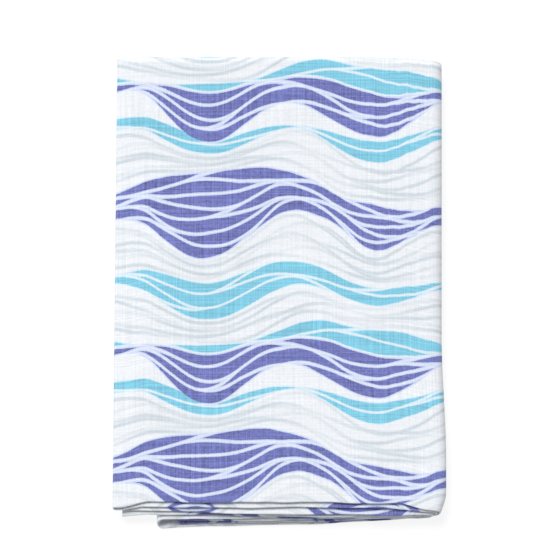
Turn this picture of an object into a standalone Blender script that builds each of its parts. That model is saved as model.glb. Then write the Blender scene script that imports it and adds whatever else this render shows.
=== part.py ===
"""Tenugui towel: one length of thin printed cotton, folded flat.

Metres, +Z up. The towel lies on its back panel with its front panel up. +X runs to the right
along the panels, and +Y runs from the folded lower edge up to the selvedges. The cloth is first
doubled along its length. That strip of two plies is then folded back and forth into eight
panels, numbered 1 (front, on top) to 8 (back, on the surface).
"""
import math

import bmesh
import bpy
import numpy as np

MM = 0.001

# The cloth before it is folded
CLOTH_LENGTH = 900 * MM
CLOTH_WIDTH = 330 * MM
STRIP_WIDTH = CLOTH_WIDTH / 2
STRIP_THICKNESS = 1.1 * MM
PANEL_PITCH = 1.4 * MM
PANEL_COUNT = 8
FRONT_COUNT = 4

# Where the fold edges lie at the foot of the towel, measured from its middle
RIGHT_EDGE = 61.9 * MM
FRONT_LEFT_EDGE = -62.3 * MM
BACK_LEFT_EDGE = -46.0 * MM

# The inner of the two folds at the left of the back panels stops short of the outer one
INNER_FOLD_INSET = 6.4 * MM

# The strip runs through the panels in this order, starting and ending in a cut end at the left
PANEL_ORDER = (3, 6, 7, 2, 1, 8, 5, 4)

# The lower edge of each panel, in millimetres up from the foot of the front panel.
# left, right: a straight line from the panel's left end to its right end
# bow: how far the edge leaves that line in the panel's middle
# dip_left, dip_right: how far the edge leaves that line at each end
EDGE_TABLE = {
    # panel: (left, right, bow, dip_left, dip_right)
    1: (0.4, -0.2, 0.0, -2.6, -2.4),
    2: (-1.6, -2.2, 0.0, -1.6, -1.2),
    3: (-2.9, -5.0, -0.4, -0.5, 0.4),
    4: (-4.3, -5.5, -0.4, -1.1, 0.2),
    5: (-6.4, -5.7, -0.2, 0.0, 0.0),
    6: (-7.3, -5.9, -0.3, 0.0, 0.0),
    7: (-8.5, -6.1, -0.3, 0.0, 0.0),
    8: (-10.0, -6.3, -0.5, 0.0, 0.2),
}
DIP_REACH = 13 * MM
DIP_SHARE_AT_TOP = 0.3

# A fold's outline is a superellipse: a circle at the narrowest fold, and blunter the wider it is
NARROWEST_POWER = 2.0
POWER_PER_RADIUS = 0.25 / MM

# The towel narrows from its foot to its top, because its folds lean in a little
TOP_INSET_LEFT = 1.8 * MM
TOP_INSET_RIGHT = 1.7 * MM
INSET_START = 16 * MM
INSET_END = 62 * MM

# At the foot the outermost fold, at the right, rounds in
CORNER_INSET = 2.3 * MM
CORNER_START = 40 * MM
CORNER_TOP = 3.5 * MM
CORNER_FOOT = -6.5 * MM

# The front panels reach past the back ones at the left, and hang down a little there
SAG_START = -44.5 * MM
SAG_DEPTH = 2.0 * MM

# Soft unevenness of the pile: height, waves along X and Y, and phase
SWELLS = (
    (0.22 * MM, 0.9, 0.7, 0.6),
    (0.16 * MM, 1.7, -1.1, 2.1),
    (0.10 * MM, 2.6, 2.3, 4.0),
)

# The two selvedges of the doubled cloth part slightly at the top
SELVEDGE_GAP = 0.3 * MM
SELVEDGE_STEP = 1.2 * MM
SELVEDGE_OPENING = 12 * MM

# Steps of the mesh
STEPS_ALONG_PANEL = 11
STEPS_PER_TURN = 6
MORE_STEPS_PER_RADIUS = 1.8 / MM
LENGTH_STEPS = 180
ROWS_UP_PANEL = (0.0, 0.03, 0.09, 0.2, 0.36, 0.54, 0.72, 0.88, 1.0)

COTTON_COLOUR = (0.72, 0.78, 0.88, 1.0)
COTTON_ROUGHNESS = 0.9

SHARP_ANGLE = math.radians(50)

HALF_THICKNESS = STRIP_THICKNESS / 2
PILE_HEIGHT = STRIP_THICKNESS + (PANEL_COUNT - 1) * PANEL_PITCH


def panel_height(panel):
    """Height of the middle of a panel's thickness."""
    return HALF_THICKNESS + (PANEL_COUNT - panel) * PANEL_PITCH


def turn_radius(panel, other):
    """Radius of the fold that joins two panels."""
    return abs(panel_height(panel) - panel_height(other)) / 2


def smooth(share):
    """Ease from 0 to 1."""
    share = np.clip(share, 0.0, 1.0)
    return share * share * (3 - 2 * share)


NARROWEST_RADIUS = turn_radius(1, 2)

# Each fold turns about a line along Y. These are the places of those lines
RIGHT_CENTRE = RIGHT_EDGE - HALF_THICKNESS - turn_radius(1, PANEL_COUNT)
FRONT_LEFT_CENTRE = FRONT_LEFT_EDGE + HALF_THICKNESS + turn_radius(1, 2)
BACK_LEFT_CENTRE = BACK_LEFT_EDGE + HALF_THICKNESS + turn_radius(5, PANEL_COUNT)


def turn_place(turn):
    """Where along X a fold turns. Folds alternate: even ones at the right, odd at the left."""
    if turn % 2 == 0:
        return RIGHT_CENTRE
    panels = PANEL_ORDER[turn:turn + 2]
    if max(panels) <= FRONT_COUNT:
        return FRONT_LEFT_CENTRE
    return BACK_LEFT_CENTRE if PANEL_COUNT in panels else BACK_LEFT_CENTRE + INNER_FOLD_INSET


def turn_outline(radius, angle):
    """A fold's outline at an angle from straight up: way out, way up, and the normal's two parts."""
    power = NARROWEST_POWER + POWER_PER_RADIUS * (radius - NARROWEST_RADIUS)
    out, up = math.sin(angle), math.cos(angle)
    reach = radius / (abs(out) ** power + abs(up) ** power) ** (1 / power)
    normal_out = abs(out) ** (power - 1)
    normal_up = math.copysign(abs(up) ** (power - 1), up)
    length = math.hypot(normal_out, normal_up)
    return reach * out, reach * up, normal_out / length, normal_up / length


def turn_length(turn):
    """Length of the strip in a fold."""
    radius = turn_radius(PANEL_ORDER[turn], PANEL_ORDER[turn + 1])
    angles = (math.pi * step / LENGTH_STEPS for step in range(LENGTH_STEPS + 1))
    places = [turn_outline(radius, angle)[:2] for angle in angles]
    return sum(math.dist(place, after) for place, after in zip(places, places[1:]))


def cut_end():
    """X of the two cut ends, so that the whole path is as long as the cloth."""
    turns = range(PANEL_COUNT - 1)
    length = sum(turn_length(turn) for turn in turns)
    length += sum(abs(turn_place(turn) - turn_place(turn - 1)) for turn in turns[1:])
    return RIGHT_CENTRE - (CLOTH_LENGTH - length) / 2


CUT_END = cut_end()


def panel_span(index):
    """Start and end along X of a panel, counted in the order in which the strip runs."""
    start = turn_place(index - 1) if index > 0 else CUT_END
    end = turn_place(index) if index < PANEL_COUNT - 1 else CUT_END
    return start, end


def edge_line(panel, x, dip_share):
    """Lower edge of a panel at a place along X, with a share of its dips."""
    left, right, bow, dip_left, dip_right = (value * MM for value in EDGE_TABLE[panel])
    start = FRONT_LEFT_CENTRE if panel <= FRONT_COUNT else BACK_LEFT_CENTRE
    along = (x - start) / (RIGHT_CENTRE - start)
    near_left = smooth(1 - (x - start) / DIP_REACH)
    near_right = smooth(1 - (RIGHT_CENTRE - x) / DIP_REACH)
    dips = dip_left * near_left + dip_right * near_right
    return left + (right - left) * along + bow * math.sin(math.pi * along) + dip_share * dips


def panel_stations(index):
    """Places along one panel: x, z, normal x, normal z, lower edge, upper edge.

    They lie closer together towards the panel's ends, where the lower edge dips.
    """
    panel = PANEL_ORDER[index]
    start, end = panel_span(index)
    heading = 1.0 if end > start else -1.0
    stations = []
    for angle in np.linspace(0.0, math.pi, STEPS_ALONG_PANEL + 1):
        x = start + (end - start) * (1 - math.cos(angle)) / 2
        foot = edge_line(panel, x, 1.0)
        head = STRIP_WIDTH + edge_line(panel, x, DIP_SHARE_AT_TOP)
        stations.append((x, panel_height(panel), 0.0, heading, foot, head))
    return stations


def turn_stations(index, before, after):
    """Places round the fold from one panel's last station to the next panel's first."""
    panel = PANEL_ORDER[index]
    other = PANEL_ORDER[index + 1]
    side = 1.0 if index % 2 == 0 else -1.0
    fall = 1.0 if panel < other else -1.0
    radius = turn_radius(panel, other)
    centre_x = turn_place(index)
    centre_z = (panel_height(panel) + panel_height(other)) / 2
    steps = STEPS_PER_TURN + round(radius * MORE_STEPS_PER_RADIUS)
    stations = []
    for step in range(1, steps):
        out, up, normal_out, normal_up = turn_outline(radius, math.pi * step / steps)
        share = smooth(step / steps)
        foot = before[4] + (after[4] - before[4]) * share
        head = before[5] + (after[5] - before[5]) * share
        x = centre_x + side * out
        z = centre_z + fall * up
        stations.append((x, z, fall * normal_out, side * normal_up, foot, head))
    return stations


def strip_stations():
    """All the places along the strip, from one cut end to the other."""
    panels = [panel_stations(index) for index in range(PANEL_COUNT)]
    stations = list(panels[0])
    for index in range(PANEL_COUNT - 1):
        stations += turn_stations(index, panels[index][-1], panels[index + 1][0])
        stations += panels[index + 1]
    return stations


def strip_outline(foot, head):
    """Section through the doubled cloth: offset along the normal, and place along Y.

    It runs up the outer ply from the rounded lower fold, over both selvedges and the slit
    between them, and down the inner ply.
    """
    round_centre = foot + HALF_THICKNESS
    slit_foot = head - SELVEDGE_OPENING
    half_gap = SELVEDGE_GAP / 2
    sides = [round_centre + (slit_foot - round_centre) * row for row in ROWS_UP_PANEL]
    inner_head = head - SELVEDGE_STEP
    diagonal = HALF_THICKNESS * math.sqrt(0.5)
    outline = [(0.0, foot), (diagonal, round_centre - diagonal)]
    outline += [(HALF_THICKNESS, y) for y in sides]
    outline += [(HALF_THICKNESS, head), (half_gap, head), (0.0, slit_foot)]
    outline += [(-half_gap, inner_head), (-HALF_THICKNESS, inner_head)]
    outline += [(-HALF_THICKNESS, y) for y in reversed(sides)]
    outline.append((-diagonal, round_centre - diagonal))
    return outline


def lean_and_swell(points):
    """Bend the evenly folded pile into the shape in which it lies."""
    x, y, z = points[:, 0], points[:, 1], points[:, 2]
    height_share = z / PILE_HEIGHT
    swell = np.zeros_like(x)
    for height, waves_x, waves_y, phase in SWELLS:
        turns = waves_x * x / (RIGHT_EDGE - FRONT_LEFT_EDGE) + waves_y * y / STRIP_WIDTH
        swell += height * np.sin(2 * math.pi * turns + phase)
    past_back = np.clip((SAG_START - x) / (SAG_START - FRONT_LEFT_EDGE), 0.0, None)
    new_z = z + swell * height_share ** 2 - SAG_DEPTH * past_back ** 2
    lean = smooth((y - INSET_START) / (INSET_END - INSET_START))
    to_right = (x - FRONT_LEFT_EDGE) / (RIGHT_EDGE - FRONT_LEFT_EDGE)
    shift_left = TOP_INSET_LEFT * np.clip(y / STRIP_WIDTH, 0.0, 1.0)
    corner = smooth((CORNER_TOP - y) / (CORNER_TOP - CORNER_FOOT))
    corner *= smooth((x - CORNER_START) / (RIGHT_EDGE - CORNER_START))
    shift_right = -TOP_INSET_RIGHT * lean - CORNER_INSET * corner
    new_x = x + shift_left * (1 - to_right) + shift_right * to_right
    return np.column_stack((new_x, y, new_z))


def strip_points(stations):
    """Every point of the cloth's surface, one ring for each station, before bending."""
    rings = []
    for x, z, normal_x, normal_z, foot, head in stations:
        ring = [(x + normal_x * offset, y, z + normal_z * offset)
                for offset, y in strip_outline(foot, head)]
        rings.append(ring)
    return np.array(rings)


def cap_faces(ring):
    """Faces that close a cut end: pairs across the strip, then one face for each ply."""
    rows = len(ROWS_UP_PANEL)
    right = ring[1:rows + 2]
    outer_head, outer_lip, slit, inner_lip, inner_head = ring[rows + 2:rows + 7]
    left = ring[:-rows - 2:-1]
    faces = [(ring[0], right[0], left[0])]
    for row in range(rows - 1):
        faces.append((left[row], right[row], right[row + 1], left[row + 1]))
    faces.append((left[rows - 1], right[rows - 1], right[rows], slit, left[rows]))
    faces.append((right[rows], outer_head, outer_lip, slit))
    faces.append((left[rows], slit, inner_lip, inner_head))
    return faces


def build_towel():
    """The folded towel as one closed mesh, its origin under the middle of its box."""
    stations = strip_stations()
    rings = strip_points(stations)
    ring_count, ring_size, _ = rings.shape
    points = lean_and_swell(rings.reshape(-1, 3))
    middle = (points.min(axis=0) + points.max(axis=0)) / 2
    points[:, :2] -= middle[:2]

    shape = bmesh.new()
    verts = [shape.verts.new(point) for point in points.tolist()]
    ring_verts = [verts[start:start + ring_size] for start in range(0, len(verts), ring_size)]
    for ring, following in zip(ring_verts, ring_verts[1:]):
        for index in range(ring_size):
            after = (index + 1) % ring_size
            shape.faces.new((ring[index], ring[after], following[after], following[index]))
    for ring in (ring_verts[0], ring_verts[ring_count - 1]):
        for face in cap_faces(ring):
            shape.faces.new(face)
    bmesh.ops.recalc_face_normals(shape, faces=shape.faces)
    mesh = bpy.data.meshes.new("towel")
    shape.to_mesh(mesh)
    shape.free()
    return mesh


def cotton():
    """Printed cotton, in the mean colour of its print."""
    material = bpy.data.materials.new("printed_cotton")
    material.use_nodes = True
    surface = material.node_tree.nodes["Principled BSDF"]
    surface.inputs["Base Color"].default_value = COTTON_COLOUR
    surface.inputs["Roughness"].default_value = COTTON_ROUGHNESS
    surface.inputs["Metallic"].default_value = 0.0
    return material


def main():
    for thing in list(bpy.data.objects):
        bpy.data.objects.remove(thing)
    mesh = build_towel()
    mesh.materials.append(cotton())
    mesh.shade_smooth()
    mesh.set_sharp_from_angle(angle=SHARP_ANGLE)
    towel = bpy.data.objects.new("towel", mesh)
    bpy.context.scene.collection.objects.link(towel)


main()
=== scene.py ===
"""Looks of the folded tenugui towel: thin printed cotton, a pale floor and soft light.

Metres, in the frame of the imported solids. The cloth is one thin sheet, doubled along its length
and folded back and forth into eight panels, numbered 1 (front) to 8 (back). A place on the flat
cloth is given by s, the way along its length, and w, the way across its width.
"""
import math

import bpy
import numpy as np
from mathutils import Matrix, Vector


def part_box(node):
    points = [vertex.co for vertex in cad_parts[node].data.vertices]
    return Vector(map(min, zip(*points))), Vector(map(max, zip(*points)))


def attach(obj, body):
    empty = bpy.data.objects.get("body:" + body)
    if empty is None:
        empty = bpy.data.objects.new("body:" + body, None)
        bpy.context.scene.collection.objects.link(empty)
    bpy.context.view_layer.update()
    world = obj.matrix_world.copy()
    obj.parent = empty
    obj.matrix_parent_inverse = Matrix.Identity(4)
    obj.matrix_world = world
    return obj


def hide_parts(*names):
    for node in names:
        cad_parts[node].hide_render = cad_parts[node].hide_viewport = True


MM = 0.001

# The cloth before it is folded
CLOTH_LENGTH = 900 * MM
CLOTH_WIDTH = 330 * MM
STRIP_WIDTH = CLOTH_WIDTH / 2
CLOTH_THICKNESS = 0.36 * MM
PLY_OFFSET = 0.28 * MM

# The folded pile, as in the solids
STRIP_THICKNESS = 1.1 * MM
PANEL_PITCH = 1.4 * MM
PANEL_COUNT = 8
FRONT_COUNT = 4
PANEL_ORDER = (3, 6, 7, 2, 1, 8, 5, 4)
RIGHT_EDGE = 61.9 * MM
FRONT_LEFT_EDGE = -62.3 * MM
BACK_LEFT_EDGE = -46.0 * MM
INNER_FOLD_INSET = 6.4 * MM

# The lower edge of each panel, in millimetres up from the foot of the front panel
EDGE_TABLE = {
    # panel: (left, right, bow, dip_left, dip_right)
    1: (0.4, -0.2, 0.0, -2.6, -2.4),
    2: (-1.6, -2.2, 0.0, -1.6, -1.2),
    3: (-2.9, -5.0, -0.4, -0.5, 0.4),
    4: (-4.3, -5.5, -0.4, -1.1, 0.2),
    5: (-6.4, -5.7, -0.2, 0.0, 0.0),
    6: (-7.3, -5.9, -0.3, 0.0, 0.0),
    7: (-8.5, -6.1, -0.3, 0.0, 0.0),
    8: (-10.0, -6.3, -0.5, 0.0, 0.2),
}
DIP_REACH = 13 * MM
DIP_SHARE_AT_TOP = 0.3

# A fold's outline is a superellipse: a circle at the narrowest fold, and blunter the wider it is
NARROWEST_POWER = 2.0
POWER_PER_RADIUS = 0.25 / MM
LENGTH_STEPS = 180

# How far the print runs off the lower fold, in millimetres. Panels agree where a fold joins them
PRINT_DRIFT = {
    # panel: (at its left end, at its right end)
    1: (0, 0),
    2: (0, 5),
    3: (-2, 4),
    4: (2, -4),
    5: (-5, -4),
    6: (6, 4),
    7: (6, 5),
    8: (-5, 0),
}

TOP_INSET_LEFT = 1.8 * MM
TOP_INSET_RIGHT = 1.7 * MM
INSET_START = 16 * MM
INSET_END = 62 * MM
CORNER_INSET = 2.3 * MM
CORNER_START = 40 * MM
CORNER_TOP = 3.5 * MM
CORNER_FOOT = -6.5 * MM
SAG_START = -44.5 * MM
SAG_DEPTH = 2.0 * MM
SWELLS = (
    # height, waves along X, waves along Y, phase
    (0.22 * MM, 0.9, 0.7, 0.6),
    (0.16 * MM, 1.7, -1.1, 2.1),
    (0.10 * MM, 2.6, 2.3, 4.0),
)
SELVEDGE_STEP = 1.2 * MM

# How the edges of the thin cloth wander: height and wavelength along the cloth, and phase
EDGE_WANDER = (
    (0.20 * MM, 71 * MM, 0.4),
    (0.13 * MM, 29 * MM, 2.2),
    (0.06 * MM, 11.5 * MM, 5.1),
)

# Steps of the cloth's mesh
STEPS_FRONT_PANEL = 64
STEPS_OTHER_PANEL = 22
STEPS_PER_TURN = 10
MORE_STEPS_PER_RADIUS = 2.4 / MM
STEPS_ROUND_FOOT = 12
ROWS_NEAR_FOOT = (0.4, 0.9, 1.5, 2.3, 3.3, 4.6, 6.2, 8.2, 10.6)
ROW_SPACING = 4.0 * MM
ROWS_AT_HEAD = 3

HALF_THICKNESS = STRIP_THICKNESS / 2
PILE_HEIGHT = STRIP_THICKNESS + (PANEL_COUNT - 1) * PANEL_PITCH

# The photograph: its scale and the row at which the front panel's foot lies
PHOTO_SIZE = 560
PHOTO_PIXELS_PER_MM = 2.70
PHOTO_FOOT_ROW = 503
CAMERA_HEIGHT = 1.2
SENSOR_MM = 36.0

KEY_FROM = (-0.28, 0.68, 1.0)
KEY_STRENGTH = 3.16
KEY_BREADTH = math.radians(26)
SKY_STRENGTH = 0.30
FLOOR_ALBEDO = 0.15
FLOOR_GLOW = 0.85


def smooth(share):
    """Ease from 0 to 1."""
    share = np.clip(share, 0.0, 1.0)
    return share * share * (3 - 2 * share)


def panel_height(panel):
    """Height of the middle of a panel's thickness."""
    return HALF_THICKNESS + (PANEL_COUNT - panel) * PANEL_PITCH


def turn_radius(panel, other):
    """Radius of the fold that joins two panels."""
    return abs(panel_height(panel) - panel_height(other)) / 2


NARROWEST_RADIUS = turn_radius(1, 2)
RIGHT_CENTRE = RIGHT_EDGE - HALF_THICKNESS - turn_radius(1, PANEL_COUNT)
FRONT_LEFT_CENTRE = FRONT_LEFT_EDGE + HALF_THICKNESS + turn_radius(1, 2)
BACK_LEFT_CENTRE = BACK_LEFT_EDGE + HALF_THICKNESS + turn_radius(5, PANEL_COUNT)


def turn_place(turn):
    """Where along X a fold turns. Folds alternate: even ones at the right, odd at the left."""
    if turn % 2 == 0:
        return RIGHT_CENTRE
    panels = PANEL_ORDER[turn:turn + 2]
    if max(panels) <= FRONT_COUNT:
        return FRONT_LEFT_CENTRE
    return BACK_LEFT_CENTRE if PANEL_COUNT in panels else BACK_LEFT_CENTRE + INNER_FOLD_INSET


def turn_outline(radius, angle):
    """A fold's outline at an angle from straight up: way out, way up, and the normal's two parts."""
    power = NARROWEST_POWER + POWER_PER_RADIUS * (radius - NARROWEST_RADIUS)
    out, up = np.sin(angle), np.cos(angle)
    reach = radius / (np.abs(out) ** power + np.abs(up) ** power) ** (1 / power)
    normal_out = np.abs(out) ** (power - 1)
    normal_up = np.copysign(np.abs(up) ** (power - 1), up)
    length = np.hypot(normal_out, normal_up)
    return reach * out, reach * up, normal_out / length, normal_up / length


def turn_way(radius, angles):
    """Way along a fold's outline at each of a row of angles."""
    fine = np.linspace(0.0, math.pi, LENGTH_STEPS + 1)
    out, up, _, _ = turn_outline(radius, fine)
    way = np.concatenate(([0.0], np.cumsum(np.hypot(np.diff(out), np.diff(up)))))
    return np.interp(angles, fine, way)


def turn_length(turn):
    """Length of the strip in a fold."""
    return float(turn_way(turn_radius(PANEL_ORDER[turn], PANEL_ORDER[turn + 1]), math.pi))


def cut_end():
    """X of the two cut ends, so that the whole path is as long as the cloth."""
    turns = range(PANEL_COUNT - 1)
    length = sum(turn_length(turn) for turn in turns)
    length += sum(abs(turn_place(turn) - turn_place(turn - 1)) for turn in turns[1:])
    return RIGHT_CENTRE - (CLOTH_LENGTH - length) / 2


CUT_END = cut_end()


def edge_line(panel, x, dip_share):
    """Lower edge of a panel at a place along X, with a share of its dips."""
    left, right, bow, dip_left, dip_right = (value * MM for value in EDGE_TABLE[panel])
    start = FRONT_LEFT_CENTRE if panel <= FRONT_COUNT else BACK_LEFT_CENTRE
    along = (x - start) / (RIGHT_CENTRE - start)
    near_left = smooth(1 - (x - start) / DIP_REACH)
    near_right = smooth(1 - (RIGHT_CENTRE - x) / DIP_REACH)
    dips = dip_left * near_left + dip_right * near_right
    return left + (right - left) * along + bow * np.sin(math.pi * along) + dip_share * dips


def panel_stations(index):
    """Places along a panel: way along the cloth, drift, x, z, normal x, normal z, foot, head."""
    panel = PANEL_ORDER[index]
    start = turn_place(index - 1) if index > 0 else CUT_END
    end = turn_place(index) if index < PANEL_COUNT - 1 else CUT_END
    steps = STEPS_FRONT_PANEL if panel == 1 else STEPS_OTHER_PANEL
    share = (1 - np.cos(np.linspace(0.0, math.pi, steps + 1))) / 2
    if panel == 1:
        share = 0.35 * share + 0.65 * np.linspace(0.0, 1.0, steps + 1)
    x = start + (end - start) * share
    from_left = share if end > start else 1 - share
    drift_left, drift_right = PRINT_DRIFT[panel]
    drift = (drift_left + (drift_right - drift_left) * from_left) * MM
    columns = [abs(end - start) * share, drift, x, np.full_like(x, panel_height(panel)),
               np.zeros_like(x), np.full_like(x, math.copysign(1.0, end - start)),
               edge_line(panel, x, 1.0), STRIP_WIDTH + edge_line(panel, x, DIP_SHARE_AT_TOP)]
    return np.column_stack(columns)


def turn_stations(index, before, after):
    """Places round the fold from one panel's last station to the next panel's first."""
    panel = PANEL_ORDER[index]
    other = PANEL_ORDER[index + 1]
    side = 1.0 if index % 2 == 0 else -1.0
    fall = 1.0 if panel < other else -1.0
    radius = turn_radius(panel, other)
    centre_z = (panel_height(panel) + panel_height(other)) / 2
    steps = STEPS_PER_TURN + round(radius * MORE_STEPS_PER_RADIUS)
    angle = np.linspace(0.0, math.pi, steps + 1)[1:-1]
    out, up, normal_out, normal_up = turn_outline(radius, angle)
    share = smooth(angle / math.pi)[:, None]
    edges = before[6:] + (after[6:] - before[6:]) * share
    drift = before[1] + (after[1] - before[1]) * share[:, 0]
    columns = [turn_way(radius, angle), drift, turn_place(index) + side * out,
               centre_z + fall * up, fall * normal_out, side * normal_up]
    return np.column_stack(columns + [edges]), turn_length(index)


def strip_stations():
    """All the places along the strip, and the way along it to the front left fold."""
    panels = [panel_stations(index) for index in range(PANEL_COUNT)]
    parts = []
    way = 0.0
    front_start = 0.0
    for index, panel in enumerate(panels):
        length = panel[-1, 0]
        panel[:, 0] += way
        way += length
        parts.append(panel)
        if index < PANEL_COUNT - 1:
            turn, length = turn_stations(index, panel[-1], panels[index + 1][0])
            if PANEL_ORDER[index + 1] == 1:
                front_start = way + length / 2
            turn[:, 0] += way
            way += length
            parts.append(turn)
    return np.vstack(parts), front_start


def cross_rows():
    """Places across the cloth, as the signed way from its middle, where it is doubled."""
    arc = math.pi / 2 * PLY_OFFSET
    angles = np.linspace(-1.0, 1.0, STEPS_ROUND_FOOT + 1) * arc
    near = arc + np.array(ROWS_NEAR_FOOT) * MM
    head = STRIP_WIDTH - np.array(range(ROWS_AT_HEAD)) * ROW_SPACING / 2
    count = round((head[-1] - near[-1]) / ROW_SPACING)
    middle = np.linspace(near[-1], head[-1], count + 1)[1:-1]
    side = np.concatenate((near, middle, head[::-1]))
    return np.concatenate((-side[::-1], angles, side))


def fold_cloth():
    """Middle surface of the folded cloth: a grid of points, and s and w at each."""
    stations, front_start = strip_stations()
    rows = cross_rows()
    way, drift, x, z, normal_x, normal_z, foot, head = (column[:, None] for column in stations.T)
    wander = sum(height * np.sin(2 * math.pi * way / length + phase)
                 for height, length, phase in EDGE_WANDER)
    foot = foot + wander
    head = head + wander[::-1]
    arc = math.pi / 2 * PLY_OFFSET
    angle = np.clip(rows / PLY_OFFSET, -math.pi / 2, math.pi / 2)[None, :]
    offset = PLY_OFFSET * np.sin(angle)
    round_centre = foot + PLY_OFFSET + CLOTH_THICKNESS / 2
    ply_head = np.where(rows[None, :] > 0, head, head - SELVEDGE_STEP)
    up_ply = np.clip((np.abs(rows) - arc) / (STRIP_WIDTH - arc), 0.0, 1.0)[None, :]
    y = round_centre - PLY_OFFSET * np.cos(angle) + (ply_head - round_centre) * up_ply
    points = np.stack((x + normal_x * offset, y, z + normal_z * offset), axis=2)
    flat = np.stack(np.broadcast_arrays(way - front_start, rows[None, :] + drift), axis=2)
    return points, flat


def lean_and_swell(points):
    """Bend the evenly folded pile into the shape in which it lies, as in the solids."""
    x, y, z = points[..., 0], points[..., 1], points[..., 2]
    height_share = z / PILE_HEIGHT
    swell = np.zeros_like(x)
    for height, waves_x, waves_y, phase in SWELLS:
        turns = waves_x * x / (RIGHT_EDGE - FRONT_LEFT_EDGE) + waves_y * y / STRIP_WIDTH
        swell += height * np.sin(2 * math.pi * turns + phase)
    past_back = np.clip((SAG_START - x) / (SAG_START - FRONT_LEFT_EDGE), 0.0, None)
    new_z = z + swell * height_share ** 2 - SAG_DEPTH * past_back ** 2
    lean = smooth((y - INSET_START) / (INSET_END - INSET_START))
    to_right = (x - FRONT_LEFT_EDGE) / (RIGHT_EDGE - FRONT_LEFT_EDGE)
    shift_left = TOP_INSET_LEFT * np.clip(y / STRIP_WIDTH, 0.0, 1.0)
    corner = smooth((CORNER_TOP - y) / (CORNER_TOP - CORNER_FOOT))
    corner = corner * smooth((x - CORNER_START) / (RIGHT_EDGE - CORNER_START))
    shift_right = -TOP_INSET_RIGHT * lean - CORNER_INSET * corner
    new_x = x + shift_left * (1 - to_right) + shift_right * to_right
    return np.stack((new_x, y, new_z), axis=2)


def surface_normals(points):
    """Unit normals of a grid of points, towards the printed face."""
    along = np.gradient(points, axis=0)
    across = np.gradient(points, axis=1)
    normals = np.cross(along, across)
    return normals / np.linalg.norm(normals, axis=2, keepdims=True)


def cloth_mesh(name, points, flat):
    """A closed sheet round a grid of middle points, with s and w kept as a UV map."""
    normals = surface_normals(points)
    outer = points + normals * CLOTH_THICKNESS / 2
    inner = points - normals * CLOTH_THICKNESS / 2
    long_count, cross_count, _ = points.shape
    count = long_count * cross_count
    index = np.arange(count).reshape(long_count, cross_count)

    def quads(a, b, c, d):
        return np.stack((a.ravel(), b.ravel(), c.ravel(), d.ravel()), axis=1)

    def rim(edge):
        return quads(edge[1:], edge[:-1], edge[:-1] + count, edge[1:] + count)

    faces = np.vstack((
        quads(index[:-1, :-1], index[1:, :-1], index[1:, 1:], index[:-1, 1:]),
        quads(index[:-1, :-1], index[:-1, 1:], index[1:, 1:], index[1:, :-1]) + count,
        rim(index[:, 0]), rim(index[::-1, -1]), rim(index[0, ::-1]), rim(index[-1, :]),
    ))
    vertices = np.vstack((outer.reshape(-1, 3), inner.reshape(-1, 3)))
    mesh = bpy.data.meshes.new(name)
    mesh.from_pydata(vertices.tolist(), [], faces.tolist())
    mesh.update()
    uv_layer = mesh.uv_layers.new(name="Cloth")
    corner_places = np.vstack((flat.reshape(-1, 2), flat.reshape(-1, 2)))[faces.ravel()]
    uv_layer.data.foreach_set("uv", corner_places.astype(np.float32).ravel())
    mesh.shade_smooth()
    return mesh


def place_over_solid(points):
    """Move the cloth to the middle of the solid's box, and down onto the surface."""
    low, high = (np.array(corner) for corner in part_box("towel"))
    cloth_low, cloth_high = points.min(axis=(0, 1)), points.max(axis=(0, 1))
    shift = (low + high) / 2 - (cloth_low + cloth_high) / 2
    shift[2] = low[2] - cloth_low[2] + CLOTH_THICKNESS / 2
    return points + shift, shift


# Print: colours as they are on the cloth, and the strands in millimetres
WHITE_COTTON = (0.794, 0.823, 0.862)
VIOLET_BLUE = (0.162, 0.181, 0.455)
SKY_BLUE = (0.195, 0.552, 0.716)
LAVENDER_LINE = (0.600, 0.670, 0.870)
PALE_SKY_LINE = (0.600, 0.760, 0.860)
FAINT_LINE = (0.590, 0.650, 0.705)

# How much less the sky blue ink varies in tone than the violet
SKY_UNEVENNESS = 0.45

REPEAT_ALONG = 129.0
REPEAT_ACROSS = 96.7
REPEAT_LOW = -7.0

# Waves along the repeat: height, how many in one repeat, and where one crests
MAIN_WAVE = ((4.5, 2, 3.0),)
ROWS = {
    # row of strands: (height above the fold, waves)
    "upper": (80.0, ((1.0, 1, 90.0),)),
    "middle": (54.0, ((2.0, 1, 100.0),)),
    "lower": (39.0, ((1.5, 1, 20.0),)),
    "broad": (12.0, ((3.0, 1, 50.0),)),
}

# Leaf-shaped strands, from the top of each row to its foot. Their layout is a rule of this script
STRAND_GROUPS = {
    # row: ((kind, count, first middle, reach, breadth), ...)
    "upper": (("sky", 7, 20.0, 30.0, 4.5),),
    "middle": (("sky", 4, 70.0, 25.0, 4.7), ("violet", 10, 30.0, 27.0, 4.8)),
    "lower": (("sky", 5, 90.0, 31.0, 3.9),),
    "broad": (("violet", 18, 10.0, 24.0, 4.6),),
}
STRAND_STEP = 49.0
HOLLOW = MAIN_WAVE[0][2] + REPEAT_ALONG / 4
DRAWN_TO_HOLLOW = 8.0
STRAND_VARIETY = 0.25
VARIETY_TURN = 2.4
LEAF_POWER = 1.6
LINE_BREADTH = {"sky": 0.7, "violet": 0.98}
LINE_SPREAD = 0.9
EDGE_SOFTNESS = 0.25

# How many faint lines lie in the white below each row. They meet and part like the strands
FAINT_COUNTS = {"upper": 5, "middle": 0, "lower": 6, "broad": 6}
FAINT_WANDER = (
    # height as a share of the white, waves in one repeat, phase
    (0.066, 2, 0.6),
    (0.040, 3, 2.1),
    (0.030, 1, 4.0),
)
FAINT_PHASE_PER_ROW = 1.7
FAINT_TURN_PER_WAVE = 0.13
FAINT_BREADTH = 1.3


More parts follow.
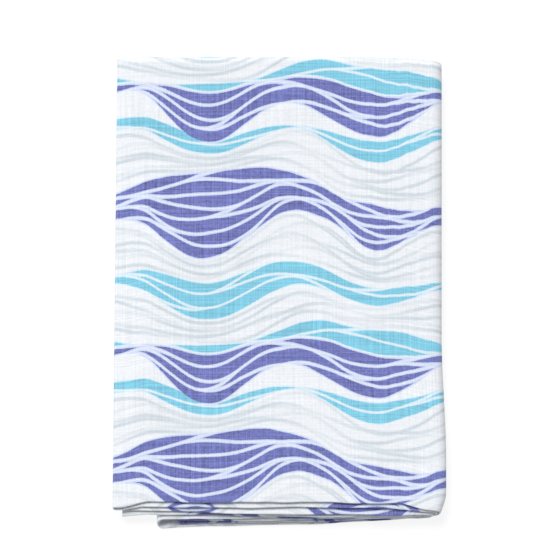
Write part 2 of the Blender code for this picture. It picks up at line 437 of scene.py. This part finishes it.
class Nodes:
    """Short ways of adding nodes to a tree."""

    def __init__(self, tree):
        self.tree = tree

    def add(self, kind, **settings):
        node = self.tree.nodes.new(kind)
        for name, value in settings.items():
            setattr(node, name, value)
        return node

    def plug(self, socket, value):
        if isinstance(value, bpy.types.NodeSocket):
            self.tree.links.new(value, socket)
        elif value is not None:
            socket.default_value = value

    def math(self, operation, first, second=None, third=None, clamp=False):
        node = self.add("ShaderNodeMath", operation=operation, use_clamp=clamp)
        for socket, value in zip(node.inputs, (first, second, third)):
            self.plug(socket, value)
        return node.outputs[0]

    def mix(self, factor, first, second, blend="MIX"):
        node = self.add("ShaderNodeMix", data_type="RGBA", blend_type=blend)
        for name, value in (("Factor_Float", factor), ("A_Color", first), ("B_Color", second)):
            socket = next(entry for entry in node.inputs if entry.identifier == name)
            if isinstance(value, tuple):
                value = (*value, 1.0)
            self.plug(socket, value)
        return next(entry for entry in node.outputs if entry.identifier == "Result_Color")

    def noise(self, vector, scale, detail=2.0, roughness=0.5):
        node = self.add("ShaderNodeTexNoise")
        self.plug(node.inputs["Vector"], vector)
        self.plug(node.inputs["Scale"], scale)
        self.plug(node.inputs["Detail"], detail)
        self.plug(node.inputs["Roughness"], roughness)
        return node.outputs["Fac"]

    def dot(self, first, constants):
        node = self.add("ShaderNodeVectorMath", operation="DOT_PRODUCT")
        self.plug(node.inputs[0], first)
        node.inputs[1].default_value = constants
        return node.outputs["Value"]

    def vector(self, x, y, z=0.0):
        node = self.add("ShaderNodeCombineXYZ")
        for socket, value in zip(node.inputs, (x, y, z)):
            self.plug(socket, value)
        return node.outputs[0]


class Harmonics:
    """Sines and cosines of one, two and three waves along the repeat."""

    def __init__(self, nodes, along):
        self.nodes = nodes
        turn = nodes.math("MULTIPLY", along, 2 * math.pi / REPEAT_ALONG)
        turns = [nodes.math("MULTIPLY", turn, count) for count in (1.0, 2.0, 3.0)]
        self.sines = nodes.vector(*(nodes.math("SINE", entry) for entry in turns))
        self.cosines = nodes.vector(*(nodes.math("COSINE", entry) for entry in turns))

    def sum(self, terms, level=0.0):
        """A level plus sine waves, each given by its height, count and phase."""
        sine_parts, cosine_parts = [0.0] * 3, [0.0] * 3
        for height, count, phase in terms:
            sine_parts[count - 1] += height * math.cos(phase)
            cosine_parts[count - 1] += height * math.sin(phase)
        sines = self.nodes.dot(self.sines, sine_parts)
        cosines = self.nodes.dot(self.cosines, cosine_parts)
        total = self.nodes.math("ADD", sines, cosines)
        return self.nodes.math("ADD", total, level)

    def crests(self, terms, level=0.0):
        """A level plus waves, each given by its height, count and the place where one crests."""
        return self.sum([(height, count, math.pi / 2 - 2 * math.pi * count * crest / REPEAT_ALONG)
                         for height, count, crest in terms], level)


def row_strands(name):
    """Strands of a row: they step along the repeat, and the hollows of its two waves draw them in."""
    strands = []
    for kind, count, first, reach, breadth in STRAND_GROUPS[name]:
        for number in range(count):
            middle = first + STRAND_STEP * number
            middle -= DRAWN_TO_HOLLOW * math.sin(4 * math.pi * (middle - HOLLOW) / REPEAT_ALONG)
            size = 1 + STRAND_VARIETY * math.sin(VARIETY_TURN * number)
            strands.append((kind, middle, reach * size, breadth * size))
    return strands


def strand_shape(nodes, along, middle, reach, breadth):
    """Breadth of a leaf-shaped strand, and how near its middle a place lies, from 0 to 1."""
    off = nodes.math("SUBTRACT", along, middle)
    off = nodes.math("WRAP", off, REPEAT_ALONG / 2, -REPEAT_ALONG / 2)
    share = nodes.math("MULTIPLY", off, 1 / reach)
    near = nodes.math("SUBTRACT", 1.0, nodes.math("MULTIPLY", share, share), clamp=True)
    return nodes.math("MULTIPLY", nodes.math("POWER", near, LEAF_POWER), breadth), near


def strand_masks(nodes, across, top, breadth, near, line):
    """Foot of a strand, its fill, and its fill with half of the pale line round it."""
    foot = nodes.math("SUBTRACT", top, breadth)
    below_top = nodes.math("SUBTRACT", top, across)
    above_foot = nodes.math("SUBTRACT", across, foot)
    depth = nodes.math("MINIMUM", below_top, above_foot)
    half_line = nodes.math("MULTIPLY_ADD", near, -line * LINE_SPREAD / 2, line * (1 + LINE_SPREAD) / 2)
    inside = nodes.math("SUBTRACT", depth, half_line)
    fill = nodes.math("DIVIDE", inside, EDGE_SOFTNESS, clamp=True)
    wide = nodes.math("DIVIDE", depth, EDGE_SOFTNESS, clamp=True)
    return foot, fill, wide


def print_row(nodes, harmonics, along, across, name, masks):
    """Add the masks of one row of strands to those of its kinds. Gives the row's top and foot."""
    height, waves = ROWS[name]
    strands = row_strands(name)
    shapes = [strand_shape(nodes, along, *sizes) for _, *sizes in strands]
    total = shapes[0][0]
    for breadth, _ in shapes[1:]:
        total = nodes.math("ADD", total, breadth)
    top = nodes.math("MULTIPLY_ADD", total, 0.5, harmonics.crests(waves, height))
    foot = top
    for (kind, *_), (breadth, near) in zip(strands, shapes):
        foot, fill, wide = strand_masks(nodes, across, foot, breadth, near, LINE_BREADTH[kind])
        for key, mask in ((kind, fill), (kind + "_line", wide)):
            masks[key] = nodes.math("MAXIMUM", masks[key], mask) if key in masks else mask
    return top, foot


def faint_lines(nodes, harmonics, across, upper, lower, row, count):
    """Thin lines in the white between the foot of one row and the top of the next."""
    room = nodes.math("SUBTRACT", lower, upper)
    mask = 0.0
    for number in range(count):
        turn = FAINT_PHASE_PER_ROW * row + math.pi * number
        terms = [(height, waves, phase + turn + math.pi * number * FAINT_TURN_PER_WAVE * waves)
                 for height, waves, phase in FAINT_WANDER]
        share = harmonics.sum(terms, (number + 1) / (count + 1))
        height = nodes.math("MULTIPLY_ADD", share, room, upper)
        off = nodes.math("SUBTRACT", across, height)
        off = nodes.math("WRAP", off, REPEAT_ACROSS / 2, -REPEAT_ACROSS / 2)
        line = nodes.math("ABSOLUTE", off)
        line = nodes.math("MULTIPLY_ADD", line, -2 / FAINT_BREADTH, 1.5, clamp=True)
        strength = harmonics.sum([(0.35, number % 3 + 1, 2.0 * number + row)], 0.65)
        line = nodes.math("MULTIPLY", line, strength)
        mask = nodes.math("MAXIMUM", mask, line)
    return mask


def print_colour(nodes, along, across, cover):
    """Colour of the print at a place on the cloth, in millimetres, and how uneven its ink is."""
    harmonics = Harmonics(nodes, along)
    level = nodes.math("SUBTRACT", across, harmonics.crests(MAIN_WAVE))
    level = nodes.math("WRAP", level, REPEAT_LOW + REPEAT_ACROSS, REPEAT_LOW)
    masks = {}
    edges = [print_row(nodes, harmonics, along, level, name, masks) for name in ROWS]
    faint = 0.0
    for row, (name, (_, foot)) in enumerate(zip(ROWS, edges)):
        next_top = edges[(row + 1) % len(edges)][0]
        if row == len(edges) - 1:
            next_top = nodes.math("SUBTRACT", next_top, REPEAT_ACROSS)
        lines = faint_lines(nodes, harmonics, level, foot, next_top, row, FAINT_COUNTS[name])
        faint = nodes.math("MAXIMUM", faint, lines)
    colour = nodes.mix(faint, WHITE_COTTON, FAINT_LINE)
    colour = nodes.mix(masks["sky_line"], colour, PALE_SKY_LINE)
    colour = nodes.mix(masks["violet_line"], colour, LAVENDER_LINE)
    colour = nodes.mix(nodes.math("MULTIPLY", masks["sky"], cover), colour, SKY_BLUE)
    colour = nodes.mix(masks["violet"], colour, VIOLET_BLUE)
    uneven_sky = nodes.math("MULTIPLY", masks["sky"], SKY_UNEVENNESS)
    return colour, nodes.math("MAXIMUM", uneven_sky, masks["violet"])


THREAD_PITCH = 0.46
WEAVE_DEPTH = 0.05 * MM


def printed_cotton():
    """Plain-woven cotton with slubs, printed with wave stripes."""
    material = bpy.data.materials.new("printed_cotton")
    material.use_nodes = True
    nodes = Nodes(material.node_tree)
    surface = material.node_tree.nodes["Principled BSDF"]
    place = nodes.add("ShaderNodeUVMap", uv_map="Cloth").outputs["UV"]
    split = nodes.add("ShaderNodeSeparateXYZ")
    nodes.plug(split.inputs[0], place)
    along = nodes.math("DIVIDE", split.outputs["X"], MM)
    across = nodes.math("DIVIDE", split.outputs["Y"], MM)

    bleed = nodes.noise(nodes.vector(along, across), 1.6, 2.0)
    bleed = nodes.math("MULTIPLY_ADD", bleed, 0.36, -0.18)
    blotch = nodes.noise(nodes.vector(along, across), 0.9, 3.0)
    cover = nodes.math("MULTIPLY_ADD", blotch, 0.5, 0.7, clamp=True)
    colour, ink = print_colour(nodes, nodes.math("ADD", along, bleed),
                               nodes.math("ADD", across, bleed), cover)

    warp = nodes.noise(nodes.vector(nodes.math("MULTIPLY", along, 0.02), across), 1.9, 1.0)
    weft = nodes.noise(nodes.vector(along, nodes.math("MULTIPLY", across, 0.02)), 1.9, 1.0)
    slub = nodes.math("ADD", warp, weft)
    uneven = nodes.math("ADD", nodes.math("SUBTRACT", slub, 1.0),
                        nodes.math("MULTIPLY_ADD", blotch, 0.8, -0.4))
    tone = nodes.math("MULTIPLY_ADD", uneven, nodes.math("MULTIPLY_ADD", ink, 0.82, 0.24), 1.0)
    shade = nodes.vector(tone, tone, tone)
    colour = nodes.mix(1.0, colour, shade, "MULTIPLY")
    nodes.plug(surface.inputs["Base Color"], colour)

    turn = 2 * math.pi / (2 * THREAD_PITCH)
    along_wave = nodes.math("SINE", nodes.math("MULTIPLY", along, turn))
    across_wave = nodes.math("SINE", nodes.math("MULTIPLY", across, turn))
    weave = nodes.math("MULTIPLY", along_wave, across_wave)
    relief = nodes.math("MULTIPLY_ADD", slub, 1.5, weave)
    bump = nodes.add("ShaderNodeBump")
    nodes.plug(bump.inputs["Height"], relief)
    bump.inputs["Distance"].default_value = WEAVE_DEPTH
    bump.inputs["Strength"].default_value = 0.5
    nodes.plug(surface.inputs["Normal"], bump.outputs["Normal"])

    surface.inputs["Roughness"].default_value = 0.88
    surface.inputs["Sheen Weight"].default_value = 0.12
    surface.inputs["Sheen Roughness"].default_value = 0.5
    surface.inputs["Specular IOR Level"].default_value = 0.25
    return material


def glowing_white(name):
    """White lit from below, like a light table, on which shadows stay faint."""
    material = bpy.data.materials.new(name)
    material.use_nodes = True
    surface = material.node_tree.nodes["Principled BSDF"]
    surface.inputs["Base Color"].default_value = (FLOOR_ALBEDO, FLOOR_ALBEDO, FLOOR_ALBEDO, 1.0)
    surface.inputs["Roughness"].default_value = 0.9
    surface.inputs["Emission Color"].default_value = (1.0, 1.0, 1.0, 1.0)
    surface.inputs["Emission Strength"].default_value = FLOOR_GLOW
    return material


def make_towel():
    """The thin cloth, in the place of its solid. Gives the piece and its shift."""
    points, flat = fold_cloth()
    points, shift = place_over_solid(lean_and_swell(points))
    towel = bpy.data.objects.new("towel_cloth", cloth_mesh("towel_cloth", points, flat))
    bpy.context.scene.collection.objects.link(towel)
    towel.data.materials.append(printed_cotton())
    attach(towel, "root")
    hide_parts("towel")
    return towel, shift


def make_floor():
    mesh = bpy.data.meshes.new("floor")
    half = 6.0
    corners = [(-half, -half, 0.0), (half, -half, 0.0), (half, half, 0.0), (-half, half, 0.0)]
    mesh.from_pydata(corners, [], [(0, 1, 2, 3)])
    mesh.materials.append(glowing_white("floor_white"))
    floor = bpy.data.objects.new("floor", mesh)
    floor.location.z = -0.0002
    bpy.context.scene.collection.objects.link(floor)


def make_key_light():
    """A broad soft light from beyond the head of the towel, high up and a little to the left."""
    light = bpy.data.lights.new("key", "SUN")
    light.energy = KEY_STRENGTH
    light.angle = KEY_BREADTH
    lamp = bpy.data.objects.new("key", light)
    lamp.rotation_euler = Vector(KEY_FROM).to_track_quat("Z", "Y").to_euler()
    bpy.context.scene.collection.objects.link(lamp)


def make_camera(shift):
    """Straight above the front panel, framed as in the photograph."""
    middle_row = (PHOTO_FOOT_ROW - PHOTO_SIZE / 2) / PHOTO_PIXELS_PER_MM * MM
    camera = bpy.data.cameras.new("camera")
    view_width = PHOTO_SIZE / PHOTO_PIXELS_PER_MM * MM
    camera.sensor_width = SENSOR_MM
    camera.lens = SENSOR_MM * CAMERA_HEIGHT / view_width
    thing = bpy.data.objects.new("camera", camera)
    thing.location = (shift[0], middle_row + shift[1], CAMERA_HEIGHT + PILE_HEIGHT)
    bpy.context.scene.collection.objects.link(thing)
    bpy.context.scene.camera = thing


def light_scene():
    world = bpy.data.worlds.new("studio")
    world.use_nodes = True
    background = world.node_tree.nodes["Background"]
    background.inputs["Color"].default_value = (1.0, 1.0, 1.0, 1.0)
    background.inputs["Strength"].default_value = SKY_STRENGTH
    bpy.context.scene.world = world
    make_key_light()
    bpy.context.scene.view_settings.view_transform = "Standard"


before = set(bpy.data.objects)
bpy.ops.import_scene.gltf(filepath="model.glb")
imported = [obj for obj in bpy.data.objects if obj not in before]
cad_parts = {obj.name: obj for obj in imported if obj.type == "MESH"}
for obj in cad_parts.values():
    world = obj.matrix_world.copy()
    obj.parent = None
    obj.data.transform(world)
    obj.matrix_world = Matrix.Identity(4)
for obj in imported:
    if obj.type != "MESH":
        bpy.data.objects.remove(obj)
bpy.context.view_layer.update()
towel, shift = make_towel()
make_floor()
light_scene()
make_camera(shift)
